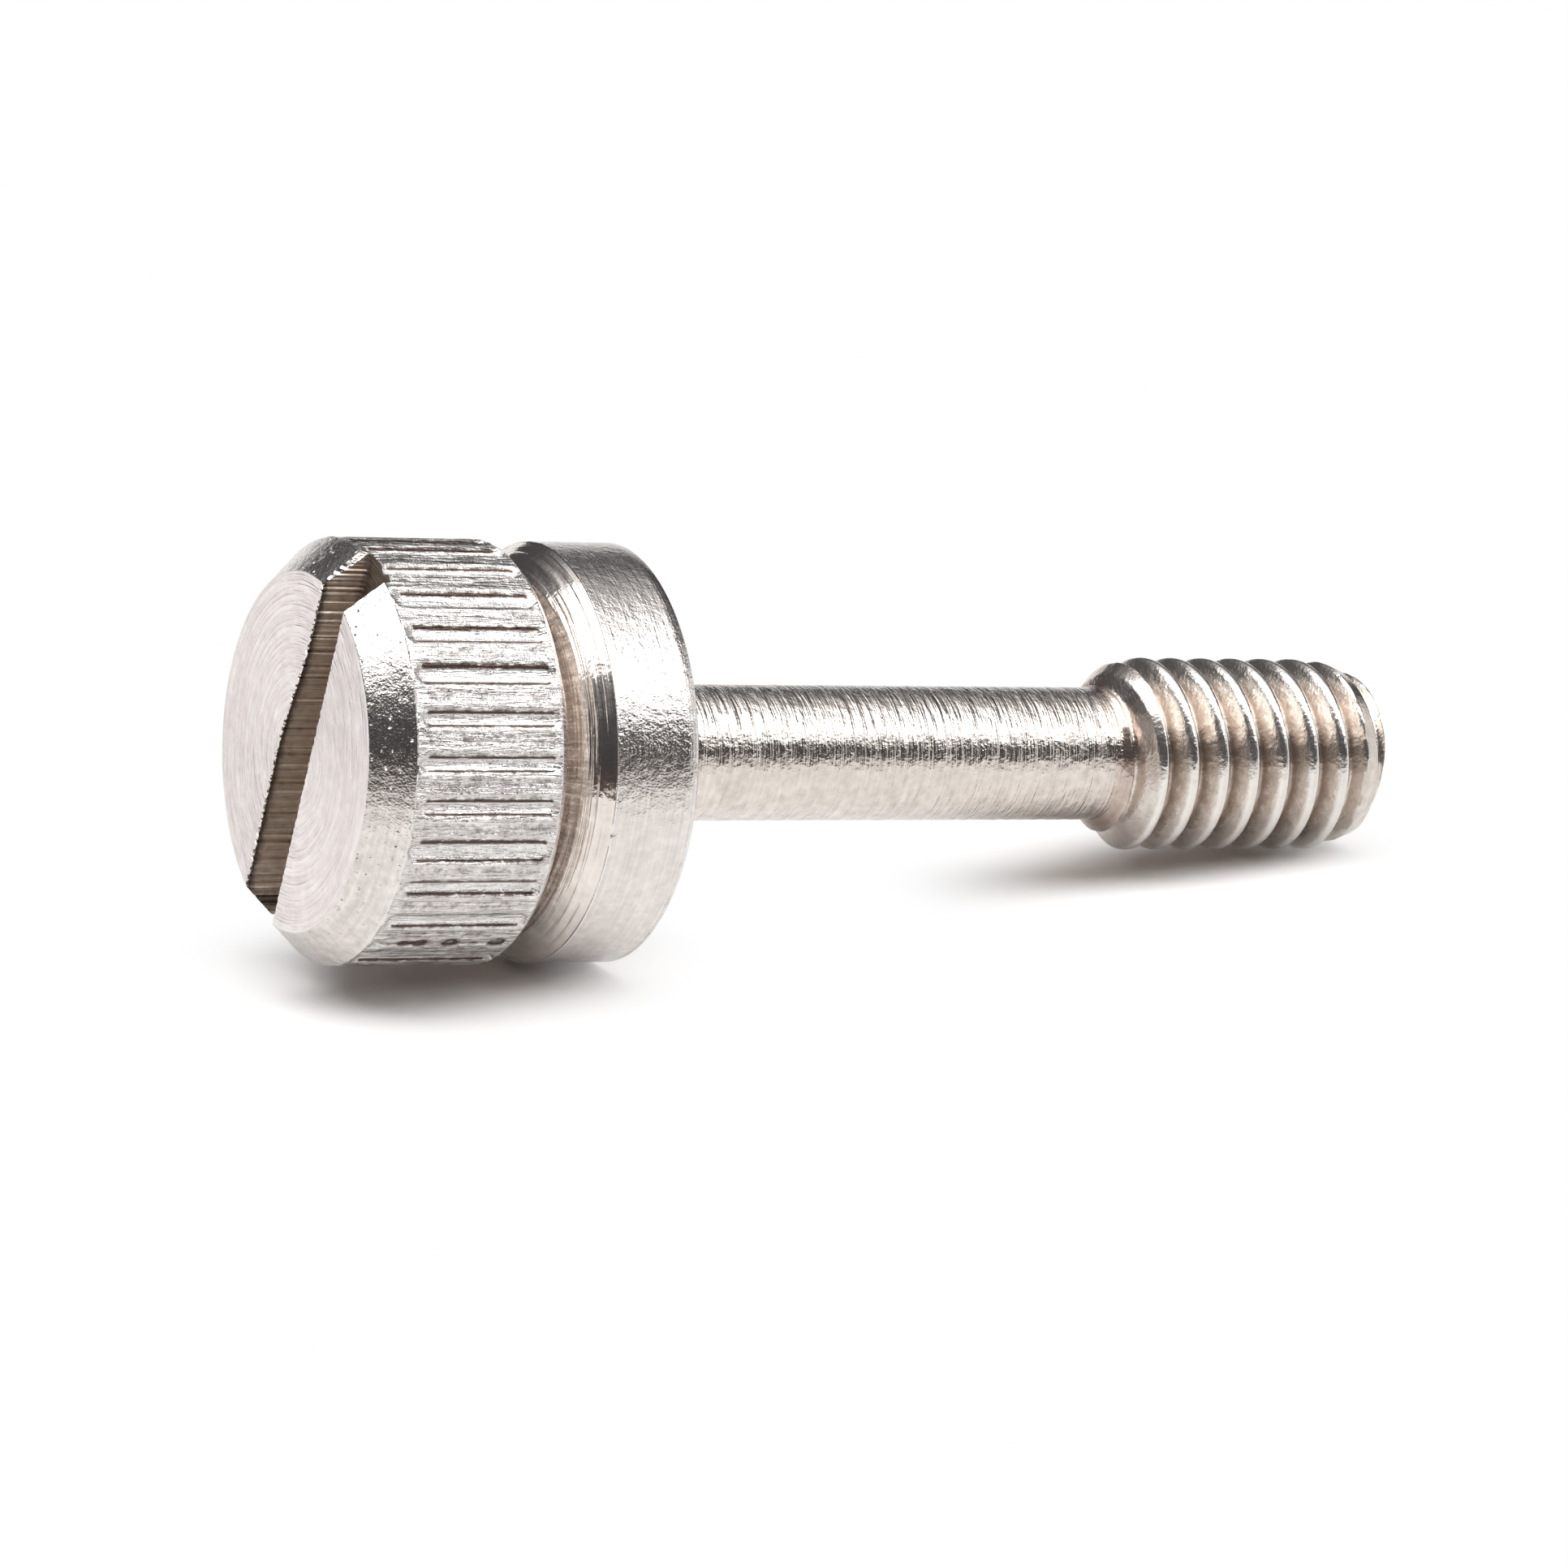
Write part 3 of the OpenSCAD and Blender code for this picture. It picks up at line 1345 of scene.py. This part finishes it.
@dataclass(frozen=True)
class MetalFinish:
    """One finish of the stainless steel: its colours, its gloss and the marks that the work left.

    Colours are linear. Lines, patches and pits are counted to the millimetre, and their depths are in
    micrometres. The shades say how uneven the metal is where it is roughest, and where it is smoothest.
    Its bands are worn edges, and strips of painted shade in its hollows.
    """

    name: str
    bright: Triple
    dull: Triple
    smooth: float
    rough: float
    travel: Travel = Travel.ALONG
    lines: float = 12.0
    wander: float = 1.0
    contrast: float = 0.5
    line_depth: float = 1.0
    coarse_lines: float = 3.0
    coarse_depth: float = 0.0
    patches: float = 4.0
    patch_depth: float = 1.0
    grain_depth: float = 0.0
    pits: float = 3.0
    pit_depth: float = 0.0
    shades: Range = (0.1, 0.9)
    bands: tuple[Band, ...] = ()

    def material(self, groups: MetalGroups) -> bpy.types.Material:
        """Builds the finish's material.

        Args:
            groups: The node groups that the finishes share.

        Returns:
            The material.
        """
        made, wiring = bare_material(self.name)
        place = wiring.group(groups.frame, {})
        spot = place.outputs["Place"]
        fine = self.lined(wiring, groups, place, self.lines)
        coarse = self.lined(wiring, groups, place, self.coarse_lines)
        mottle = wiring.group(groups.mottle, {"Place": spot, "Patches per mm": self.patches})
        pits = wiring.group(groups.pits, {"Place": spot, "Pits per mm": self.pits})

        uneven = wiring.maths("MULTIPLY", fine, 0.5)
        uneven = wiring.maths("MULTIPLY_ADD", mottle.outputs["Patches"], 0.5, uneven, clamp=True)
        colour = wiring.blend(uneven, (*self.dull, 1.0), (*self.bright, 1.0))
        rough = wiring.spread(uneven, *self.shades, self.rough, self.smooth)
        for band in self.bands:
            share = band.strength(wiring, groups, place)
            colour = wiring.blend(share, colour, (*band.colour, 1.0))
            rough = wiring.maths("MULTIPLY_ADD", share, band.roughened, rough)

        height = wiring.maths("MULTIPLY", fine, self.line_depth)
        for relief, depth in (
            (coarse, self.coarse_depth),
            (mottle.outputs["Patches"], self.patch_depth),
            (mottle.outputs["Grain"], self.grain_depth),
            (pits.outputs["Pits"], -self.pit_depth),
        ):
            height = wiring.maths("MULTIPLY_ADD", relief, depth, height)
        bump = wiring.node("ShaderNodeBump")
        bump.inputs["Strength"].default_value = 1.0
        bump.inputs["Distance"].default_value = 1.0
        wiring.feed(bump.inputs["Height"], wiring.maths("MULTIPLY", height, MICROMETRE))

        metal = wiring.node("ShaderNodeBsdfPrincipled")
        metal.inputs["Metallic"].default_value = 1.0
        wiring.feed(metal.inputs["Base Color"], colour)
        wiring.feed(metal.inputs["Roughness"], rough)
        wiring.feed(metal.inputs["Normal"], bump.outputs[0])
        wiring.show(metal.outputs[0])
        return made

    def lined(self, wiring: Wiring, groups: MetalGroups, place: bpy.types.Node, lines: float) -> Socket:
        """Adds one set of tool lines.

        Args:
            wiring: The material's wiring.
            groups: The shared groups.
            place: The screw_frame group's node.
            lines: Lines to the millimetre.

        Returns:
            The lines, from 0 to 1.
        """
        marks = wiring.group(groups.marks, {
            "Travel": place.outputs[self.travel.value],
            "Side": place.outputs["Side"],
            "Lines per mm": lines,
            "Wander": self.wander,
            "Contrast": self.contrast,
        })
        return marks.outputs["Lines"]


FINISHES: dict[Finish, MetalFinish] = {
    Finish.FACED: MetalFinish(
        name="faced_steel",
        bright=(0.96, 0.89, 0.865),
        dull=(0.77, 0.695, 0.675),
        smooth=0.27,
        rough=0.4,
        travel=Travel.OUTWARD,
        lines=13.0,
        wander=1.6,
        contrast=0.34,
        line_depth=18.0,
        patches=3.0,
        patch_depth=2.0,
        grain_depth=4.0,
        bands=(Band(3.39, 0.03, Travel.OUTWARD, share=0.5),),
    ),
    Finish.BEVELLED: MetalFinish(
        name="bevelled_steel",
        bright=(0.95, 0.88, 0.83),
        dull=(0.6, 0.555, 0.525),
        smooth=0.08,
        rough=0.17,
        lines=14.0,
        wander=1.6,
        line_depth=2.0,
        patches=5.0,
        patch_depth=7.0,
        grain_depth=5.2,
        pits=7.0,
        pit_depth=19.0,
        bands=(Band(0.68, 0.04, share=0.5),),
    ),
    Finish.KNURLED: MetalFinish(
        name="knurled_steel",
        bright=(0.98, 0.94, 0.91),
        dull=(0.52, 0.48, 0.45),
        smooth=0.12,
        rough=0.24,
        lines=1.3,
        wander=56.0,
        contrast=0.34,
        line_depth=17.0,
        patches=6.0,
        patch_depth=7.0,
        grain_depth=7.0,
        bands=(
            # Painted shade: dark brown on the walls of the grooves, where they fall into shade.
            Band(3.988, 0.037, Travel.OUTWARD, (0.1, 0.068, 0.054), 1.4, roughened=0.06, within=(0.96, 3.5)),
            Band(3.945, 0.024, Travel.OUTWARD, (0.98, 0.95, 0.93), 0.9, roughened=-0.03, within=(0.8, 3.6)),
            Band(3.68, 0.05, share=0.6),
        ),
    ),
    Finish.FLARED: MetalFinish(
        name="flared_steel",
        bright=(0.93, 0.86, 0.8),
        dull=(0.7, 0.63, 0.58),
        smooth=0.07,
        rough=0.15,
        lines=16.0,
        wander=0.7,
        line_depth=10.0,
        coarse_lines=5.5,
        coarse_depth=30.0,
        patch_depth=4.0,
        grain_depth=0.8,
        # Painted shade: dark brown in the hollow where the flare rises from the neck's floor.
        bands=(Band(4.12, 0.2, colour=(0.28, 0.205, 0.165), share=0.6),),
    ),
    Finish.TURNED: MetalFinish(
        name="turned_steel",
        bright=(0.9, 0.84, 0.8),
        dull=(0.65, 0.6, 0.565),
        smooth=0.12,
        rough=0.21,
        lines=16.0,
        line_depth=4.0,
        coarse_lines=5.0,
        coarse_depth=3.5,
        patches=5.0,
        patch_depth=7.0,
        grain_depth=5.0,
        pit_depth=8.0,
        bands=(Band(4.82, 0.04), Band(6.46, 0.05)),
    ),
    Finish.CHATTERED: MetalFinish(
        name="chattered_steel",
        bright=(0.89, 0.81, 0.75),
        dull=(0.58, 0.525, 0.475),
        smooth=0.1,
        rough=0.2,
        lines=13.0,
        wander=0.9,
        line_depth=18.0,
        coarse_lines=5.0,
        coarse_depth=13.0,
        patches=4.5,
        patch_depth=9.5,
        grain_depth=4.0,
        bands=(Band(17.35, 0.25, colour=(0.34, 0.16, 0.1), share=0.45),),
    ),
    Finish.THREADED: MetalFinish(
        name="threaded_steel",
        bright=(0.84, 0.77, 0.71),
        dull=(0.57, 0.51, 0.46),
        smooth=0.17,
        rough=0.28,
        lines=10.0,
        wander=1.5,
        line_depth=3.0,
        patch_depth=6.0,
        grain_depth=3.0,
        bands=(
            # Painted shade: darker brown down in the thread's roots.
            Band(1.54, 0.2, Travel.OUTWARD, (0.33, 0.25, 0.2), 0.8, roughened=0.12, within=(18.0, 22.5)),
            Band(1.9, 0.06, Travel.OUTWARD, (0.93, 0.9, 0.87), 0.7, roughened=-0.04),
            Band(17.4, 0.25, colour=(0.34, 0.16, 0.1), share=0.45),
        ),
    ),
    Finish.SAWN: MetalFinish(
        name="sawn_steel",
        bright=(0.93, 0.82, 0.72),
        dull=(0.43, 0.345, 0.28),
        smooth=0.34,
        rough=0.55,
        travel=Travel.SLOTWISE,
        lines=13.0,
        wander=5.0,
        contrast=0.14,
        line_depth=11.0,
        patches=5.0,
        patch_depth=5.0,
        grain_depth=3.0,
        bands=(
            # Painted shade: dark along the top of the slot's walls, under the rims.
            Band(0.06, 0.13, Travel.ALONG, (0.07, 0.05, 0.04), 0.9, roughened=0.1, within=(-1.0, 0.3)),
            Band(0.6, 0.24, Travel.ALONG, (0.56, 0.44, 0.355), 0.75, roughened=0.1),
            # Painted shade: dark at the slot's floor and the foot of its walls.
            Band(0.87, 0.17, Travel.ALONG, (0.1, 0.07, 0.053), 0.9, roughened=0.1),
            # Painted shade: nearly black at the slot's lower end.
            Band(-3.66, 0.3, Travel.SLOTWISE, (0.018, 0.014, 0.012), 0.95, roughened=0.1),
        ),
    ),
}


# ---------------------------------------------------------------------------------------------------
# Sheet, room, light and camera
# ---------------------------------------------------------------------------------------------------


def seen_share(wiring: Wiring) -> Socket:
    """Tells the rays that see the studio from those that light dull things.

    Args:
        wiring: The wiring of the material or the world.

    Returns:
        1 for the rays of the camera, of gloss and of glass before any dull bounce, and 0 for the rest.
    """
    path = wiring.node("ShaderNodeLightPath")
    seen = wiring.maths("MAXIMUM", path.outputs["Is Camera Ray"], path.outputs["Is Glossy Ray"])
    seen = wiring.maths("MAXIMUM", seen, path.outputs["Is Transmission Ray"])
    direct = wiring.maths("LESS_THAN", path.outputs["Diffuse Depth"], 0.5)
    return wiring.maths("MULTIPLY", seen, direct)


def from_work(name: str, work: bmesh.types.BMesh, material: bpy.types.Material) -> bpy.types.Object:
    """Makes an object from a finished bmesh.

    Args:
        name: The object's name and its mesh's.
        work: The mesh, which is used up.
        material: Its material.

    Returns:
        The object, linked to the scene.
    """
    mesh = bpy.data.meshes.new(name)
    work.to_mesh(mesh)
    work.free()
    mesh.materials.append(material)
    return put_in_scene(name, mesh)


def show_in_metal(name: str, work: bmesh.types.BMesh, material: bpy.types.Material) -> bpy.types.Object:
    """Makes a part of the studio that shows only in the metal.

    Args:
        name: The part's name.
        work: Its mesh, which is used up.
        material: Its material.

    Returns:
        The part, as part of the stage. It casts neither light nor shade.
    """
    made = from_work(name, work, material)
    made.visible_camera = False
    made.visible_diffuse = False
    made.visible_shadow = False
    made.visible_volume_scatter = False
    return made


@dataclass(frozen=True)
class PaperSheet:
    """The white sheet that the screw lies on. Beyond its head and its thread's tip it runs out into plain
    white, which paints over the screw's shadow there, also under the shank.

    The camera sees it a little overexposed, and sees through it from below. Its shadows show a little
    lighter in the metal.
    """

    reach: float = 1.5
    sides: int = 96
    colour: Triple = (0.97, 0.95, 0.94)
    roughness: float = 0.9
    specular: float = 0.1
    real_shadow_stretches: tuple[Range, ...] = ((-0.0094, -0.0083), (0.007, 0.008))
    lit_reach: float = 0.0012
    white_reach: float = 0.0055
    exposure: float = 1.42
    lift: float = 0.05

    def build(self) -> bpy.types.Object:
        """Builds the sheet.

        Returns:
            The sheet, as part of the stage.
        """
        work = bmesh.new()
        bmesh.ops.create_circle(work, cap_ends=True, segments=self.sides, radius=self.reach)
        sheet = from_work("paper_sheet", work, self.material())
        return sheet

    def material(self) -> bpy.types.Material:
        """Builds the paper, with the shadow by the head and the tip, and painted white over it further out.

        Returns:
            The material.
        """
        material = bpy.data.materials.new("paper")
        material.use_nodes = True
        wiring = Wiring(material.node_tree)
        paper = material.node_tree.nodes["Principled BSDF"]
        paper.inputs["Base Color"].default_value = (*self.colour, 1.0)
        paper.inputs["Roughness"].default_value = self.roughness
        paper.inputs["Specular IOR Level"].default_value = self.specular
        bright = wiring.node("ShaderNodeBsdfDiffuse")
        bright.inputs["Color"].default_value = (*(part * self.exposure for part in self.colour), 1.0)
        path = wiring.node("ShaderNodeLightPath")
        exposed = wiring.mix(path.outputs["Is Camera Ray"], paper.outputs[0], bright.outputs[0])
        runs_out: Value = 1.0
        # Painted light: away from these stretches a white glow covers the screw's real shadow.
        for start, end in self.real_shadow_stretches:
            runs_out = wiring.maths("MULTIPLY", self.run_out(wiring, start, end), runs_out)
        lifted = wiring.maths("MULTIPLY", path.outputs["Is Glossy Ray"], self.lift)
        runs_out = wiring.maths("MAXIMUM", runs_out, lifted)
        white_share = wiring.maths("MULTIPLY", runs_out, seen_share(wiring))
        above = wiring.mix(white_share, exposed, wiring.node("ShaderNodeEmission").outputs[0])
        below = wiring.node("ShaderNodeBsdfTransparent").outputs[0]
        from_below = wiring.node("ShaderNodeNewGeometry").outputs["Backfacing"]
        shown = material.node_tree.nodes["Material Output"]
        wiring.feed(shown.inputs["Surface"], wiring.mix(from_below, above, below))
        return material

    def run_out(self, wiring: Wiring, start: float, end: float) -> Socket:
        """Measures how far the paper, away from one stretch of the screw, runs out into painted white.

        Args:
            wiring: The paper's wiring.
            start: Where the stretch starts along X, in metres.
            end: Where it ends.

        Returns:
            0 beside the stretch, rising smoothly to 1.
        """
        place = wiring.node("ShaderNodeTexCoord").outputs["Object"]
        nearest = wiring.vector("MINIMUM", place, (end, 0.0, 1.0)).outputs[0]
        nearest = wiring.vector("MAXIMUM", nearest, (start, 0.0, -1.0)).outputs[0]
        away = wiring.vector("DISTANCE", place, nearest).outputs["Value"]
        return wiring.spread(away, self.lit_reach, self.white_reach, 0.0, 1.0, curve="SMOOTHSTEP")


@dataclass(frozen=True)
class Room:
    """The dim studio round the sheet: its walls and ceiling, and the dark bench before the sheet."""

    radius: float = 1.3
    sides: int = 96
    sheet_radius: float = 0.35
    sheet_back: float = 0.305
    bench_height: float = 0.0005
    shades: tuple[tuple[float, Triple], ...] = (
        (0.0, (0.09, 0.068, 0.06)),
        (0.15, (0.058, 0.055, 0.057)),
        (0.5, (0.085, 0.085, 0.09)),
        (0.68, (0.24, 0.24, 0.245)),
        (0.77, (0.48, 0.48, 0.485)),
        (0.84, (0.9, 0.9, 0.9)),
    )

    def build(self) -> list[bpy.types.Object]:
        """Builds the walls with their ceiling, and the bench."""
        shade = self.material()
        return [self.walls(shade), self.bench(shade)]

    def material(self) -> bpy.types.Material:
        """Builds the room's material, which grows lighter with height.

        Returns:
            The material.
        """
        material, wiring = bare_material("room_shade")
        coordinates = wiring.node("ShaderNodeTexCoord")
        direction = wiring.vector("NORMALIZE", coordinates.outputs["Object"]).outputs[0]
        parts = wiring.node("ShaderNodeSeparateXYZ", direction)
        ramp = wiring.node("ShaderNodeValToRGB", parts.outputs[2])
        for place, _ in self.shades[2:]:
            ramp.color_ramp.elements.new(place)
        for element, (place, colour) in zip(ramp.color_ramp.elements, self.shades):
            element.position = place
            element.color = (*colour, 1.0)
        wiring.show(wiring.node("ShaderNodeEmission", ramp.outputs[0]).outputs[0])
        return material

    def walls(self, shade: bpy.types.Material) -> bpy.types.Object:
        """Builds the walls and the ceiling.

        Args:
            shade: The room's material.

        Returns:
            The walls, as part of the stage.
        """
        work = bmesh.new()
        around, upward = self.sides // 2, self.sides // 4
        bmesh.ops.create_uvsphere(work, u_segments=around, v_segments=upward, radius=self.radius)
        return show_in_metal("room_walls", work, shade)

    def bench(self, shade: bpy.types.Material) -> bpy.types.Object:
        """Builds the bench beyond the edge of the sheet.

        Args:
            shade: The room's material.

        Returns:
            The bench, as part of the stage.
        """
        work = bmesh.new()
        inner = [work.verts.new(self.spot(self.sheet_radius, side)) for side in range(self.sides)]
        outer = [work.verts.new(self.spot(self.radius, side)) for side in range(self.sides)]
        for corner in inner:
            corner.co.y += self.sheet_back
        for side in range(self.sides):
            after = (side + 1) % self.sides
            work.faces.new((inner[side], outer[side], outer[after], inner[after]))
        return show_in_metal("room_bench", work, shade)

    def spot(self, radius: float, side: int) -> Triple:
        """Gives a corner of a ring just above the sheet."""
        angle = side * TURN / self.sides
        return (radius * math.cos(angle), radius * math.sin(angle), self.bench_height)


@dataclass(frozen=True)
class Card:
    """An upright white card behind or beside the sheet, which the metal reflects."""

    name: str
    distance: float
    height: float
    turns: Range
    brightness: float
    foot: float = 0.001
    columns: int = 25

    def build(self) -> bpy.types.Object:
        """Builds the card, curved round the screw.

        Returns:
            The card, as part of the stage.
        """
        material, wiring = bare_material(self.name)
        glow = wiring.node("ShaderNodeEmission")
        wiring.feed(glow.inputs["Strength"], self.brightness)
        wiring.show(glow.outputs[0])
        work = bmesh.new()
        rows = []
        for angle in np.radians(np.linspace(*self.turns, self.columns)):
            x, y = self.distance * math.cos(angle), self.distance * math.sin(angle)
            rows.append([work.verts.new((float(x), float(y), z)) for z in (self.foot, self.height)])
        for row, after in zip(rows, rows[1:]):
            work.faces.new((row[0], after[0], after[1], row[1]))
        return show_in_metal(self.name, work, material)


@dataclass(frozen=True)
class SoftBox:
    """A long soft box that hangs level over the screw, square to the camera.

    Its edges are counted from straight above the screw, in parts of its height.
    """

    name: str
    height: float
    left: float
    right: float
    front: float
    back: float
    radiance: float
    colour: Triple = (1.0, 1.0, 1.0)
    slant: float = 0.0

    def build(self, azimuth: float) -> bpy.types.Object:
        """Builds the soft box.

        Args:
            azimuth: The camera's azimuth, which the box is squared to.

        Returns:
            The lamp.
        """
        light = bpy.data.lights.new(self.name, "AREA")
        light.shape = "RECTANGLE"
        light.size = (self.right - self.left) * self.height
        light.size_y = (self.back - self.front) * self.height
        light.energy = self.radiance * math.pi * light.size * light.size_y
        light.color = self.colour
        lamp = put_in_scene(self.name, light)
        aside = (self.left + self.right) / 2.0 * self.height
        ahead = (self.front + self.back) / 2.0 * self.height
        turn = azimuth + self.slant
        cosine, sine = math.cos(turn), math.sin(turn)
        lamp.location = (aside * cosine + ahead * sine, ahead * cosine - aside * sine, self.height)
        lamp.rotation_euler = (0.0, 0.0, -turn)
        lamp.visible_camera = False
        return lamp


@dataclass(frozen=True)
class Sky:
    """The even light that fills the shadows, and the white that is seen beyond the sheet."""

    fill: float = 0.024
    colour: Triple = (1.0, 0.8, 0.7)

    def build(self) -> None:
        """Builds the world."""
        world = bpy.data.worlds.new("studio")
        bpy.context.scene.world = world
        world.use_nodes = True
        wiring = Wiring(world.node_tree)
        world.node_tree.nodes.clear()
        soft, white = (
            wiring.node("ShaderNodeBackground", (*colour, 1.0), strength).outputs[0]
            for colour, strength in ((self.colour, self.fill), ((1.0, 1.0, 1.0), 1.0))
        )
        wiring.show(wiring.mix(seen_share(wiring), soft, white), "ShaderNodeOutputWorld")


@dataclass(frozen=True)
class Viewpoint:
    """The camera: its direction, and where it stands from the centre of the end face."""

    azimuth: float = math.radians(26.95)
    elevation: float = math.radians(16.2)
    lens: float = 158.4
    sensor: float = 36.0
    distance: float = 0.1294
    face_left: float = 0.009195
    face_above: float = 0.000609
    clips: Range = (0.005, 10.0)

    def build(self, lie: Lie) -> bpy.types.Object:
        """Builds the camera and makes it the scene's.

        Args:
            lie: Where the screw lies.

        Returns:
            The camera.
        """
        turn, tilt = self.azimuth, self.elevation
        forward = Vector((
            math.sin(turn) * math.cos(tilt),
            math.cos(turn) * math.cos(tilt),
            -math.sin(tilt),
        ))
        right = Vector((math.cos(turn), -math.sin(turn), 0.0))
        upward = right.cross(forward)
        data = bpy.data.cameras.new("camera")
        data.lens = self.lens
        data.sensor_width = self.sensor
        data.clip_start, data.clip_end = self.clips
        camera = put_in_scene("camera", data)
        offset = right * -self.face_left + upward * self.face_above + forward * self.distance
        camera.location = lie.centre - offset
        camera.rotation_mode = "QUATERNION"
        camera.rotation_quaternion = (-forward).to_track_quat("Z", "Y")
        bpy.context.scene.camera = camera
        return camera


SOFT_BOX = SoftBox(
    name="soft_box",
    height=0.45,
    left=-1.2,
    right=3.3,
    front=-0.72,
    back=0.24,
    radiance=2.55,
    colour=(0.985, 1.0, 1.01),
    slant=math.radians(7.5),
)
CARDS = (
    Card(name="back_card", distance=0.6, height=0.115, turns=(40.0, 160.0), brightness=1.0),
    Card(name="side_card", distance=0.25, height=0.12, turns=(-35.0, 15.0), brightness=0.9),
)


def main() -> None:
    """Builds the screw, its stage, the light and the camera."""
    logging.basicConfig(level=logging.INFO, format="%(name)s: %(message)s")
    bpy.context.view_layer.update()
    model = CaptiveScrew()
    lie = Lie.from_record(frame["record"], model.slot.depth)

    screw = model.build(lie)
    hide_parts(NODE)
    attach(screw, BODY)
    screw.data.calc_loop_triangles()
    LOG.info("%s: %d triangles", screw.name, len(screw.data.loop_triangles))

    stage = [PaperSheet().build(), *Room().build(), *(card.build() for card in CARDS)]
    for part in stage:
        LOG.info("%s: %d faces", part.name, len(part.data.polygons))
    viewpoint = Viewpoint()
    LOG.info("lamp %s", SOFT_BOX.build(viewpoint.azimuth).name)
    Sky().build()
    viewpoint.build(lie)

    scene = bpy.context.scene
    scene.view_settings.view_transform = "Standard"


if __name__ == "__main__":
    main()
